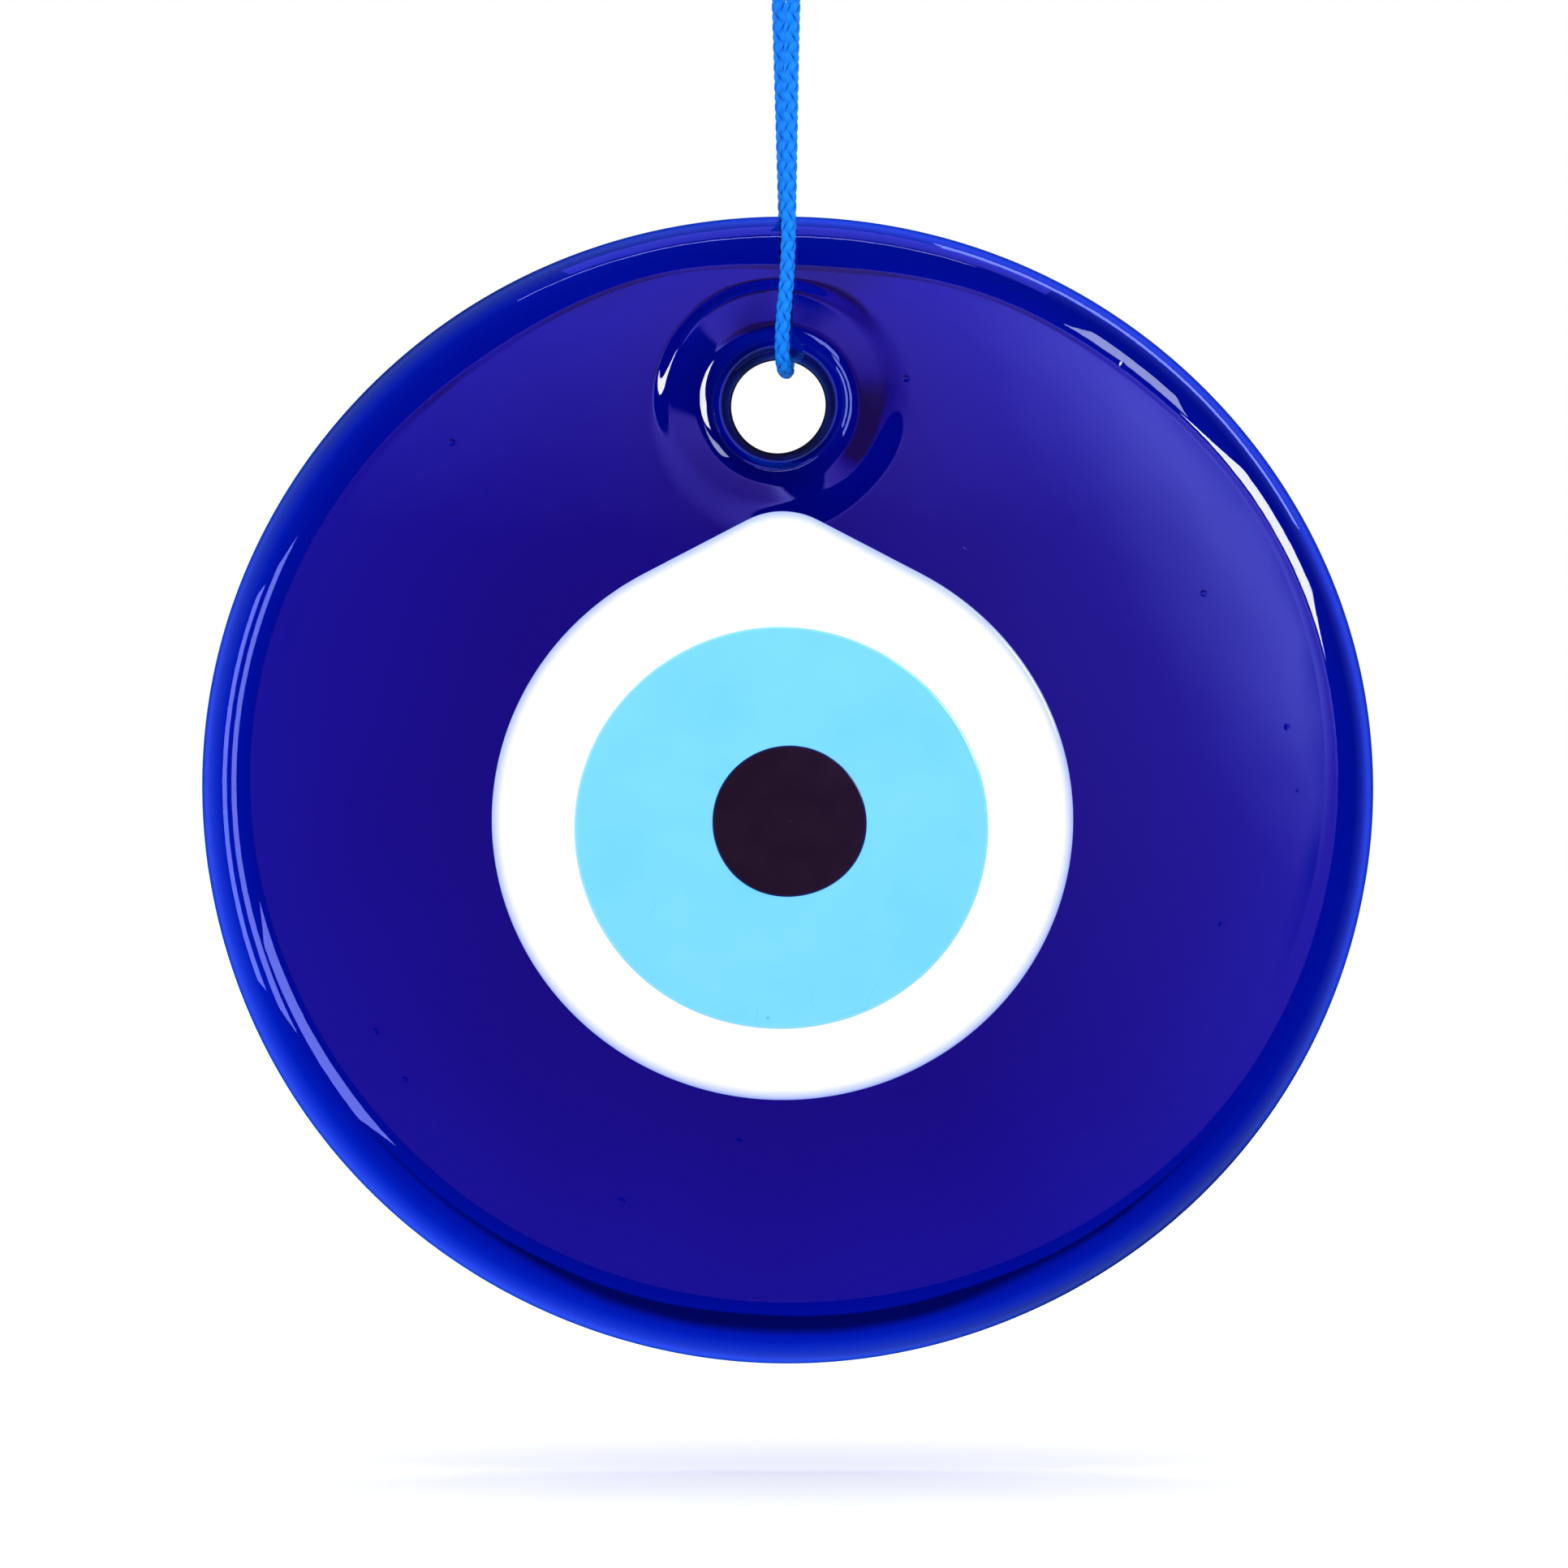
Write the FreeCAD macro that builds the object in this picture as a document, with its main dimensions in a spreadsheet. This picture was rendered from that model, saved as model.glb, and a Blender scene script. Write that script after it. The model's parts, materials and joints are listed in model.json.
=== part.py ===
"""Evil eye ornament: a pierced cobalt-glass disc with a glass eye, hanging on a loop of braided cord.

Frame, in millimetres: +Z up, +X to the viewer's right, -Y towards the viewer. The origin is the top of
the nail or hook that the cord loop hangs on, at the middle of the loop. The glass hangs straight below it.
"""

import FreeCAD, Part
import math
import os

import Sketcher
from FreeCAD import Placement, Rotation, Vector

# Driving dimensions: alias, value, meaning. Lengths are in millimetres and angles in degrees.
DIMENSIONS = [
    ("disc_width", 100.0, "width of the glass disc"),
    ("disc_height", 98.06, "height of the glass disc"),
    ("disc_thickness", 8.0, "thickness at the middle of the dome"),
    ("back_plane", 3.5, "distance of the flat back behind the hanging plane"),
    ("disc_drop", 98.03, "disc centre below the nail's top"),
    ("dome_reach", 44.0, "radius at which the dome has fallen by dome_sag"),
    ("dome_sag", 1.8, "fall of the front face at dome_reach"),
    ("rim_front_radius", 3.9, "rounding of the rim at the front"),
    ("rim_back_radius", 1.6, "rounding of the rim at the back"),
    ("hole_shift", -0.76, "hole centre sideways from the disc centre"),
    ("hole_rise", 32.8, "hole centre above the disc centre"),
    ("hole_radius", 4.0, "hole radius at the back"),
    ("hole_lip_radius", 4.7, "hole radius at the front lip"),
    ("hole_ring_radius", 7.0, "outer radius of the rounded ring about the hole"),
    ("hole_dish_radius", 10.0, "outer radius of the shallow dish about the hole"),
    ("hole_dish_depth", 0.8, "depth of the dish at its inner edge"),
    ("hole_lip_depth", 2.8, "depth of the front lip"),
    ("hole_back_round", 0.4, "rounding of the hole's back edge"),
    ("drop_shift", -0.41, "centre of the white drop sideways"),
    ("drop_rise", -2.56, "centre of the white drop upwards"),
    ("drop_width", 49.6, "width of the white drop"),
    ("drop_round_height", 47.8, "height of the drop's round part, as a whole ellipse"),
    ("drop_flank_slope", 27.5, "fall of the drop's straight flanks from level"),
    ("drop_tip_radius", 6.4, "rounding of the drop's tip"),
    ("drop_depth", 3.0, "depth of the white glass at the middle"),
    ("iris_shift", -0.52, "iris centre sideways"),
    ("iris_rise", -3.28, "iris centre upwards"),
    ("iris_width", 35.0, "width of the iris"),
    ("iris_height", 34.0, "height of the iris"),
    ("iris_depth", 1.8, "depth of the pale-blue glass at the middle"),
    ("pupil_shift", 0.17, "pupil centre sideways"),
    ("pupil_rise", -2.7, "pupil centre upwards"),
    ("pupil_width", 13.06, "width of the pupil"),
    ("pupil_height", 12.8, "height of the pupil"),
    ("pupil_depth", 1.0, "depth of the black glass at the middle"),
    ("cord_diameter", 1.3, "diameter of the braided cord"),
    ("nail_diameter", 2.0, "nail that the loop is made for"),
    ("swing_height", -1.2, "height of the swing axis beside the nail"),
    ("twist_height", -30.0, "height at which the two legs are parted for the twist"),
    ("sway_height", -62.15, "height of the sway axis in the hole"),
    ("hinge_gap", 1.0, "gap in the legs at the swing axis"),
    ("twist_gap", 0.4, "gap in the legs at the twist height"),
    ("knot_bottom", 2.6, "underside of the knot"),
    ("knot_height", 4.3, "height of the knot"),
    ("knot_end_radius", 1.55, "radius of the knot's flat ends"),
    ("knot_radius", 2.35, "largest radius of the knot"),
]

VALUES = {alias: value for alias, value, meaning in DIMENSIONS}

# How far the cutting profiles run past the glass, and the pads of the poured colours past the dome.
CLEAR_OF_GLASS = 12.0
PAST_DOME = 0.5
# The dish about the hole: how far its profile runs past its edge, and its depth half way across as a share
# of its whole depth.
DISH_OVERRUN = 1.0
DISH_HOLLOW = 0.72
# Where a quarter round's middle lies, as a share of its size from the sides that it touches.
QUARTER_ROUND = 1 - math.cos(math.pi / 4)
# Space between the cord's strands and the nail, and between the two strands in the knot.
NAIL_CLEARANCE = 0.03
STRAND_CLEARANCE = 0.04
# Largest difference allowed between a tube's volume and its section times its length.
VOLUME_TOLERANCE = 0.01
# Share of the shorter run that each arc of a cord's route takes from it.
ARC_SHARE = 0.45

doc = FreeCAD.newDocument("evil_eye")


def make_sheet():
    """The spreadsheet of driving dimensions, one row each: meaning, value, alias."""
    sheet = doc.addObject("Spreadsheet::Sheet", "dims")
    for row, (alias, value, meaning) in enumerate(DIMENSIONS, start=1):
        sheet.set(f"A{row}", meaning)
        sheet.set(f"B{row}", str(value))
        sheet.setAlias(f"B{row}", alias)
    doc.recompute()


# ---------------------------------------------------------------- sketch helpers


def new_body(label):
    """A body of the disc. Its frame is at the disc's centre, with +Y towards the back."""
    body = doc.addObject("PartDesign::Body", label)
    body.Label = label
    body.Placement = Placement(Vector(0, 0, -VALUES["disc_drop"]), Rotation())
    return body


def new_sketch(body, name, plane_role):
    """A sketch on one of the body's own origin planes."""
    sketch = body.newObject("Sketcher::SketchObject", name)
    plane = next(f for f in body.Origin.OriginFeatures if f.Role == plane_role)
    sketch.AttachmentSupport = [(plane, "")]
    sketch.MapMode = "FlatFace"
    return sketch


def place_front_sketch(sketch, depth_expression):
    """Move a sketch of the XZ plane, whose normal is -Y, to a plane parallel to it."""
    sketch.setExpression("AttachmentOffset.Base.z", depth_expression)


def bind(sketch, kind, *where, to):
    """Add a constraint whose value is an expression of the spreadsheet's cells."""
    index = sketch.addConstraint(Sketcher.Constraint(kind, *where))
    sketch.setExpression(f"Constraints[{index}]", to)


def place_centre(sketch, index, name):
    """Hold the centre of an ellipse at NAME_shift and NAME_rise from the sketch's origin."""
    bind(sketch, "DistanceX", -1, 1, index, 3, VALUES[f"{name}_shift"], to=f"dims.{name}_shift")
    bind(sketch, "DistanceY", -1, 1, index, 3, VALUES[f"{name}_rise"], to=f"dims.{name}_rise")


def size_ellipse(sketch, index, width, height):
    """Bind an ellipse's axes, which follow it in the sketch as its inner geometry."""
    major, minor = index + 1, index + 2
    sketch.addConstraint(Sketcher.Constraint("Horizontal", major))
    bind(sketch, "Distance", major, VALUES[width], to=f"dims.{width}")
    bind(sketch, "Distance", minor, VALUES[height], to=f"dims.{height}")


def ellipse(centre, width, height):
    """An upright ellipse from its centre and the aliases of its width and height."""
    along = Vector(VALUES[width] / 2, 0, 0)
    up = Vector(0, VALUES[height] / 2, 0)
    return Part.Ellipse(centre + along, centre + up, centre)


def draw_spot(sketch, name):
    """The elliptical outline of the iris or of the pupil."""
    centre = Vector(VALUES[f"{name}_shift"], VALUES[f"{name}_rise"], 0)
    index = sketch.addGeometry(ellipse(centre, f"{name}_width", f"{name}_height"))
    sketch.exposeInternalGeometry(index)
    size_ellipse(sketch, index, f"{name}_width", f"{name}_height")
    place_centre(sketch, index, name)


def draw_disc(sketch, name):
    """The disc's elliptical outline, centred on the sketch's origin."""
    index = sketch.addGeometry(ellipse(Vector(), f"{name}_width", f"{name}_height"))
    sketch.exposeInternalGeometry(index)
    size_ellipse(sketch, index, f"{name}_width", f"{name}_height")
    sketch.addConstraint(Sketcher.Constraint("Coincident", index, 3, -1, 1))


def draw_drop(sketch, name):
    """The drop's outline: an ellipse below, two straight flanks that touch it, and a round tip."""
    half_width = VALUES["drop_width"] / 2
    half_height = VALUES["drop_round_height"] / 2
    tip = VALUES["drop_tip_radius"]
    centre = Vector(VALUES["drop_shift"], VALUES["drop_rise"], 0)
    normal = math.radians(90 - VALUES["drop_flank_slope"])
    reach = math.hypot(half_width * math.cos(normal), half_height * math.sin(normal))
    touch = Vector(half_width**2 * math.cos(normal) / reach, half_height**2 * math.sin(normal) / reach, 0)
    tip_centre = Vector(0, (reach - tip) / math.sin(normal), 0)
    tip_touch = tip_centre + Vector(math.cos(normal), math.sin(normal), 0) * tip
    start = math.atan2(touch.y / half_height, touch.x / half_width)

    def mirrored(point):
        return Vector(-point.x, point.y, 0)

    whole = ellipse(centre, "drop_width", "drop_round_height")
    lower = sketch.addGeometry(Part.ArcOfEllipse(whole, math.pi - start, 2 * math.pi + start))
    sketch.exposeInternalGeometry(lower)
    right = sketch.addGeometry(Part.LineSegment(centre + touch, centre + tip_touch))
    tip_circle = Part.Circle(centre + tip_centre, Vector(0, 0, 1), tip)
    top = sketch.addGeometry(Part.ArcOfCircle(tip_circle, normal, math.pi - normal))
    left = sketch.addGeometry(Part.LineSegment(centre + mirrored(tip_touch), centre + mirrored(touch)))
    for first, first_end, second, second_end in (
        (lower, 2, right, 1),
        (right, 2, top, 1),
        (top, 2, left, 1),
        (left, 2, lower, 1),
    ):
        sketch.addConstraint(Sketcher.Constraint("Tangent", first, first_end, second, second_end))
    size_ellipse(sketch, lower, "drop_width", "drop_round_height")
    place_centre(sketch, lower, name)
    bind(sketch, "Radius", top, tip, to="dims.drop_tip_radius")
    sketch.addConstraint(Sketcher.Constraint("Vertical", lower, 3, top, 3))


# ---------------------------------------------------------------- glass features


def pad_forward(body, name, draw, outline, depth_expression, length_expression):
    """A pad towards the viewer from a plane behind it."""
    sketch = new_sketch(body, name + "_outline", "XZ_Plane")
    place_front_sketch(sketch, depth_expression)
    draw(sketch, outline)
    pad = body.newObject("PartDesign::Pad", name)
    pad.Profile = sketch
    pad.setExpression("Length", length_expression)
    doc.recompute()
    return pad


def pocket_forward(body, name, draw, outline, depth_expression):
    """A recess from a floor inside the glass out through the front, with a check that it cuts."""
    before = body.Shape.Volume
    sketch = new_sketch(body, name + "_outline", "XZ_Plane")
    place_front_sketch(sketch, depth_expression)
    draw(sketch, outline)
    pocket = body.newObject("PartDesign::Pocket", name)
    pocket.Profile = sketch
    pocket.Reversed = True
    pocket.Length = CLEAR_OF_GLASS
    doc.recompute()
    print(f"{body.Label}: {name} cuts {before - body.Shape.Volume:.1f} mm3")
    assert body.Shape.Volume < before
    return pocket


def groove(body, name, sketch):
    """A full turn of a profile about the sketch's level axis, with a check that it cuts."""
    before = body.Shape.Volume
    cut = body.newObject("PartDesign::Groove", name)
    cut.Profile = sketch
    cut.ReferenceAxis = (sketch, ["H_Axis"])
    cut.Angle = 360
    doc.recompute()
    print(f"{body.Label}: {name} cuts {before - body.Shape.Volume:.1f} mm3")
    assert body.Shape.Volume < before
    return cut


def close_loop(sketch, indices):
    """Join the end of each piece of a profile to the start of the next."""
    for first, second in zip(indices, indices[1:] + indices[:1]):
        sketch.addConstraint(Sketcher.Constraint("Coincident", first, 2, second, 1))


def front_plane():
    """Place along Y of the top of the dome."""
    return VALUES["back_plane"] - VALUES["disc_thickness"]


def dome_radius():
    """Radius of the sphere that the front of every glass colour lies on."""
    return (VALUES["dome_reach"] ** 2 + VALUES["dome_sag"] ** 2) / (2 * VALUES["dome_sag"])


def cut_dome(body):
    """Turn the front face into the shared shallow dome."""
    sketch = new_sketch(body, "dome_profile", "YZ_Plane")
    crest = front_plane()
    radius = dome_radius()
    outside = VALUES["disc_width"] / 2 + CLEAR_OF_GLASS
    angle = math.asin(outside / radius)
    centre = Vector(crest + radius, 0, 0)
    arc_end = Vector(centre.x - radius * math.cos(angle), outside, 0)
    ahead = crest - CLEAR_OF_GLASS
    crest_cell = "dims.back_plane - dims.disc_thickness"
    circle = Part.Circle(centre, Vector(0, 0, 1), radius)
    edge = sketch.addGeometry(Part.ArcOfCircle(circle, math.pi - angle, math.pi))
    axis_side = sketch.addGeometry(Part.LineSegment(Vector(crest, 0, 0), Vector(ahead, 0, 0)))
    far_side = sketch.addGeometry(Part.LineSegment(Vector(ahead, 0, 0), Vector(ahead, outside, 0)))
    top_side = sketch.addGeometry(Part.LineSegment(Vector(ahead, outside, 0), arc_end))
    close_loop(sketch, [edge, axis_side, far_side, top_side])
    sketch.addConstraint(Sketcher.Constraint("Horizontal", axis_side))
    sketch.addConstraint(Sketcher.Constraint("Vertical", far_side))
    sketch.addConstraint(Sketcher.Constraint("Horizontal", top_side))
    sketch.addConstraint(Sketcher.Constraint("PointOnObject", edge, 3, -1))
    sketch.addConstraint(Sketcher.Constraint("PointOnObject", edge, 2, -1))
    bind(sketch, "Radius", edge, radius, to="(dims.dome_reach^2 + dims.dome_sag^2) / (2 * dims.dome_sag)")
    bind(sketch, "DistanceX", -1, 1, edge, 2, crest, to=crest_cell)
    bind(sketch, "DistanceX", -1, 1, far_side, 1, ahead, to=f"{crest_cell} - {CLEAR_OF_GLASS}")
    bind(sketch, "DistanceY", -1, 1, far_side, 2, outside, to=f"dims.disc_width / 2 + {CLEAR_OF_GLASS}")
    return groove(body, "dome", sketch)


def rim_edge(body, at_back):
    """Name of the edge all round the flat back, the one furthest back, or of the edge all round the dome."""
    round_edges = []
    for number, edge in enumerate(body.Shape.Edges, start=1):
        if edge.BoundBox.XLength > VALUES["disc_width"] * 0.99:
            round_edges.append((edge.BoundBox.YMin, number))
    pick = max if at_back else min
    return f"Edge{pick(round_edges)[1]}"


def round_rim(body, name, at_back):
    """A fillet on the rim, whose radius is the cell of the same name."""
    base = body.Tip
    edge = rim_edge(body, at_back)
    fillet = body.newObject("PartDesign::Fillet", name)
    fillet.Base = (base, [edge])
    fillet.setExpression("Radius", f"dims.{name}_radius")
    doc.recompute()
    return fillet


def cut_hole(body):
    """The pierced hole: a shallow dish, a rounded ring down to the lip, and a tapered bore."""
    sketch = new_sketch(body, "hole_profile", "YZ_Plane")
    sketch.setExpression("AttachmentOffset.Base.y", "dims.hole_rise")
    sketch.setExpression("AttachmentOffset.Base.z", "dims.hole_shift")
    fall = VALUES["hole_rise"] ** 2 / (2 * dome_radius())
    surface = front_plane() + fall
    dish, ring = VALUES["hole_dish_radius"], VALUES["hole_ring_radius"]
    lip, bore = VALUES["hole_lip_radius"], VALUES["hole_radius"]
    dish_floor = surface + VALUES["hole_dish_depth"]
    lip_floor = surface + VALUES["hole_lip_depth"]
    back, back_round = VALUES["back_plane"], VALUES["hole_back_round"]
    round_start = back - back_round
    # The dish is hollow, so its arc bulges into the glass, and the ring's arc bulges out of it.
    dish_start = Vector(surface - VALUES["hole_dish_depth"] / 2, dish + DISH_OVERRUN, 0)
    dish_middle = Vector(surface + DISH_HOLLOW * VALUES["hole_dish_depth"], (dish + ring) / 2, 0)
    ring_start = Vector(dish_floor, ring, 0)
    ring_depth = QUARTER_ROUND * (lip_floor - dish_floor)
    ring_middle = Vector(dish_floor + ring_depth, lip + QUARTER_ROUND * (ring - lip), 0)
    lip_start = Vector(lip_floor, lip, 0)
    bore_end = Vector(round_start, bore, 0)
    bevel = back_round * QUARTER_ROUND
    round_middle = Vector(back - bevel, bore + bevel, 0)
    round_end = Vector(back, bore + back_round, 0)
    behind = Vector(back + CLEAR_OF_GLASS, bore + back_round, 0)
    ahead = front_plane() - CLEAR_OF_GLASS
    profile = [
        Part.Arc(dish_start, dish_middle, ring_start),
        Part.Arc(ring_start, ring_middle, lip_start),
        Part.LineSegment(lip_start, bore_end),
        Part.Arc(bore_end, round_middle, round_end),
        Part.LineSegment(round_end, behind),
        Part.LineSegment(behind, Vector(behind.x, 0, 0)),
        Part.LineSegment(Vector(behind.x, 0, 0), Vector(ahead, 0, 0)),
        Part.LineSegment(Vector(ahead, 0, 0), Vector(ahead, dish_start.y, 0)),
        Part.LineSegment(Vector(ahead, dish_start.y, 0), dish_start),
    ]
    sketch.addGeometry(profile)
    return groove(body, "hole", sketch)


# ---------------------------------------------------------------- glass pieces


def make_glass_body():
    """The cobalt disc with its rounded rim, its hole and the recess that the white drop fills."""
    body = new_body("glass_body")
    pad_forward(body, "disc", draw_disc, "disc", "-dims.back_plane", "dims.disc_thickness")
    cut_dome(body)
    round_rim(body, "rim_front", at_back=False)
    round_rim(body, "rim_back", at_back=True)
    cut_hole(body)
    pocket_forward(body, "drop_recess", draw_drop, "drop", recess_floor("drop"))
    return body


def recess_floor(name):
    """Expression for the plane of a colour's floor, measured forwards from the hanging plane."""
    return f"dims.disc_thickness - dims.back_plane - dims.{name}_depth"


def make_spot(label, name, draw, recess):
    """One glass colour that fills a recess of the colour below it and may hold a recess of its own."""
    body = new_body(label)
    pad_forward(body, "spot", draw, name, recess_floor(name), f"dims.{name}_depth + {PAST_DOME}")
    cut_dome(body)
    if name == "drop":
        cut_hole(body)
    if recess:
        pocket_forward(body, recess + "_recess", draw_spot, recess, recess_floor(recess))
    return body


# ---------------------------------------------------------------- cord


def tangent_path(label, points):
    """Straight runs joined by tangent arcs, each as large as its two runs allow. Each turn is printed."""
    edges = []
    start = points[0]
    for before, corner, after in zip(points, points[1:], points[2:]):
        into = corner - before
        out = after - corner
        turn = into.getAngle(out)
        reach = ARC_SHARE * min(into.Length, out.Length)
        radius = reach / math.tan(turn / 2)
        print(f"{label}: turn {math.degrees(turn):5.1f} degrees, radius {radius:6.2f} mm")
        into.normalize()
        out.normalize()
        arc_start = corner - into * reach
        arc_end = corner + out * reach
        middle_way = out - into
        middle_way.normalize()
        to_arc = radius * (1 / math.cos(turn / 2) - 1)
        edges.append(Part.LineSegment(start, arc_start).toShape())
        edges.append(Part.Arc(arc_start, corner + middle_way * to_arc, arc_end).toShape())
        start = arc_end
    edges.append(Part.LineSegment(start, points[-1]).toShape())
    return Part.Wire(edges)


def cord_tube(label, points):
    """A stretch of cord: a round section swept along its route."""
    points = [Vector(*point) for point in points]
    route = doc.addObject("Part::Feature", label + "_route")
    route.Shape = tangent_path(label, points)
    section = doc.addObject("Part::Circle", label + "_section")
    section.setExpression("Radius", "dims.cord_diameter / 2")
    section.Placement = Placement(points[0], Rotation(Vector(0, 0, 1), points[1] - points[0]))
    tube = doc.addObject("Part::Sweep", label)
    tube.Label = label
    tube.Sections = [section]
    tube.Spine = (route, [f"Edge{n + 1}" for n in range(len(route.Shape.Edges))])
    tube.Solid = True
    doc.recompute()
    area = math.pi * (VALUES["cord_diameter"] / 2) ** 2
    expected = area * route.Shape.Length
    print(f"{label}: length {route.Shape.Length:.2f} mm")
    print(f"{label}: volume {tube.Shape.Volume:.3f} mm3, expected {expected:.3f}")
    assert abs(tube.Shape.Volume - expected) < VOLUME_TOLERANCE * expected
    return tube


def along(start, end, height):
    """The point at a height on the straight line between two points."""
    share = (height - start[2]) / (end[2] - start[2])
    return tuple(a + share * (b - a) for a, b in zip(start, end))


def make_cord():
    """The loop's stretches, from the hole up: the bight, two legs, two necks beside the nail, two tails."""
    swing = VALUES["swing_height"]
    twist = VALUES["twist_height"]
    above_swing = swing + VALUES["hinge_gap"] / 2
    below_swing = swing - VALUES["hinge_gap"] / 2
    above_twist = twist + VALUES["twist_gap"] / 2
    below_twist = twist - VALUES["twist_gap"] / 2
    sway = VALUES["sway_height"]
    beside_nail = (VALUES["nail_diameter"] + VALUES["cord_diameter"]) / 2 + NAIL_CLEARANCE
    knot_bottom = VALUES["knot_bottom"]
    knot_top = knot_bottom + VALUES["knot_height"]
    strand_shift = (VALUES["cord_diameter"] + STRAND_CLEARANCE) / 2

    front_joint = (beside_nail, 0, swing)
    back_joint = (-beside_nail, 0, swing)
    front_twist = (0.47, -2.0, twist)
    back_twist = (-0.72, 2.6, twist)
    front_shoulder = (0.05, -3.8, -54.2)
    back_shoulder = (-0.1, 4.6, -50.6)

    stretches = {
        "cord_bight": [
            along(front_twist, front_shoulder, below_twist),
            front_shoulder,
            (-0.4, -3.85, -58.4),
            (-0.45, -3.15, -61.1),
            (-0.3, -1.6, sway - 0.1),
            (-0.1, 1.9, sway - 0.15),
            (0, 4.2, sway),
            (0, 4.6, sway + 2.4),
            back_shoulder,
            along(back_twist, back_shoulder, below_twist),
        ],
        "cord_leg_right": [
            along(front_joint, front_twist, below_swing),
            along(front_joint, front_twist, above_twist),
        ],
        "cord_leg_left": [
            along(back_joint, back_twist, below_swing),
            along(back_joint, back_twist, above_twist),
        ],
    }
    for name, side in (("right", 1), ("left", -1)):
        stretches["cord_neck_" + name] = [
            (side * beside_nail, 0, above_swing),
            (side * beside_nail, 0, 0.1),
            (side * strand_shift, 0, 1.75),
            (side * strand_shift, 0, knot_bottom),
        ]
        stretches["cord_tail_" + name] = [
            (side * strand_shift, 0, knot_top),
            (side * strand_shift, 0, knot_top + 1.0),
            (side * 1.3, side * -0.5, knot_top + 3.2),
        ]
    return [cord_tube(label, points) for label, points in stretches.items()]


def make_knot():
    """The knot's outer shape: a barrel that the necks enter below and the tails leave above."""
    body = doc.addObject("PartDesign::Body", "knot")
    body.Label = "knot"
    sketch = new_sketch(body, "knot_profile", "XZ_Plane")
    low = VALUES["knot_bottom"]
    high = low + VALUES["knot_height"]
    narrow, wide = VALUES["knot_end_radius"], VALUES["knot_radius"]
    base = sketch.addGeometry(Part.LineSegment(Vector(0, low, 0), Vector(narrow, low, 0)))
    middle = Vector(wide, (low + high) / 2, 0)
    side = sketch.addGeometry(Part.Arc(Vector(narrow, low, 0), middle, Vector(narrow, high, 0)))
    top = sketch.addGeometry(Part.LineSegment(Vector(narrow, high, 0), Vector(0, high, 0)))
    axis = sketch.addGeometry(Part.LineSegment(Vector(0, high, 0), Vector(0, low, 0)))
    close_loop(sketch, [base, side, top, axis])
    sketch.addConstraint(Sketcher.Constraint("Horizontal", base))
    sketch.addConstraint(Sketcher.Constraint("Horizontal", top))
    sketch.addConstraint(Sketcher.Constraint("PointOnObject", base, 1, -2))
    sketch.addConstraint(Sketcher.Constraint("PointOnObject", top, 2, -2))
    bind(sketch, "DistanceY", -1, 1, base, 1, low, to="dims.knot_bottom")
    bind(sketch, "DistanceX", base, 1, base, 2, narrow, to="dims.knot_end_radius")
    bind(sketch, "DistanceX", top, 2, top, 1, narrow, to="dims.knot_end_radius")
    bind(sketch, "DistanceY", axis, 2, axis, 1, high - low, to="dims.knot_height")
    turned = body.newObject("PartDesign::Revolution", "barrel")
    turned.Profile = sketch
    turned.ReferenceAxis = (sketch, ["V_Axis"])
    turned.Angle = 360
    doc.recompute()
    return body


# ---------------------------------------------------------------- whole ornament


def check_document():
    """Stop if any object of the document failed to build."""
    for item in doc.Objects:
        failed = {"Invalid", "Error"} & set(item.State)
        if failed:
            raise RuntimeError(f"{item.Name} is {failed}")


def export(pieces):
    """Write each piece's solid under its own name."""
    os.makedirs("parts", exist_ok=True)
    for piece in pieces:
        shape = piece.Shape
        if shape.isNull() or not shape.isValid() or len(shape.Solids) != 1:
            raise RuntimeError(f"{piece.Label} isn't one valid solid")
        print(f"{piece.Label}: volume {shape.Volume:.1f} mm3, centre {shape.Solids[0].CenterOfMass}")
    for piece in pieces:
        piece.Shape.exportStep(f"parts/{piece.Label}.step")


make_sheet()
ornament = [
    make_glass_body(),
    make_spot("white_drop", "drop", draw_drop, "iris"),
    make_spot("iris", "iris", draw_spot, "pupil"),
    make_spot("pupil", "pupil", draw_spot, None),
    make_knot(),
]
ornament += make_cord()
doc.recompute()
check_document()
export(ornament)
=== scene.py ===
"""Looks of the evil eye ornament: cobalt glass with a poured glass eye, hanging on a braided cord."""

import json
import math

import bpy
import numpy as np
from mathutils import Matrix, Vector


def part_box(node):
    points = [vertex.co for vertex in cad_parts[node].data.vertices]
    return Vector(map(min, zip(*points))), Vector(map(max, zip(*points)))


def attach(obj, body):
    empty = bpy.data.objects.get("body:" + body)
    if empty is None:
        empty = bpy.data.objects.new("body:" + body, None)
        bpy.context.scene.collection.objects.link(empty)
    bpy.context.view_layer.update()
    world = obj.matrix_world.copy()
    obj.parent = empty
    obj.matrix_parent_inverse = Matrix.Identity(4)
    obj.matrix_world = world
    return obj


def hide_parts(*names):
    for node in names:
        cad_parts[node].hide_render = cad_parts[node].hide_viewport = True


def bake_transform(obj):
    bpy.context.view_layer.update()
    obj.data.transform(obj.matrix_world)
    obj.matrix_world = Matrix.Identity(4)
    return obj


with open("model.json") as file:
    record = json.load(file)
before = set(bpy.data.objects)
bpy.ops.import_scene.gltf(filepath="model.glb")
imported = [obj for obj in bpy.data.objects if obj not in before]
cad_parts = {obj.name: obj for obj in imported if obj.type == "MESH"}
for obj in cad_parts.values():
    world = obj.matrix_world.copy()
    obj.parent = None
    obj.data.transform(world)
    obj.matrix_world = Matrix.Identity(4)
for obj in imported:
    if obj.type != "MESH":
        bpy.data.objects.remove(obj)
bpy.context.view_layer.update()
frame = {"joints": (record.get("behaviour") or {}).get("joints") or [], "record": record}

MM = 0.001
TURN = 2 * math.pi

# ---------------- sizes, from the frame, in millimetres


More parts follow.
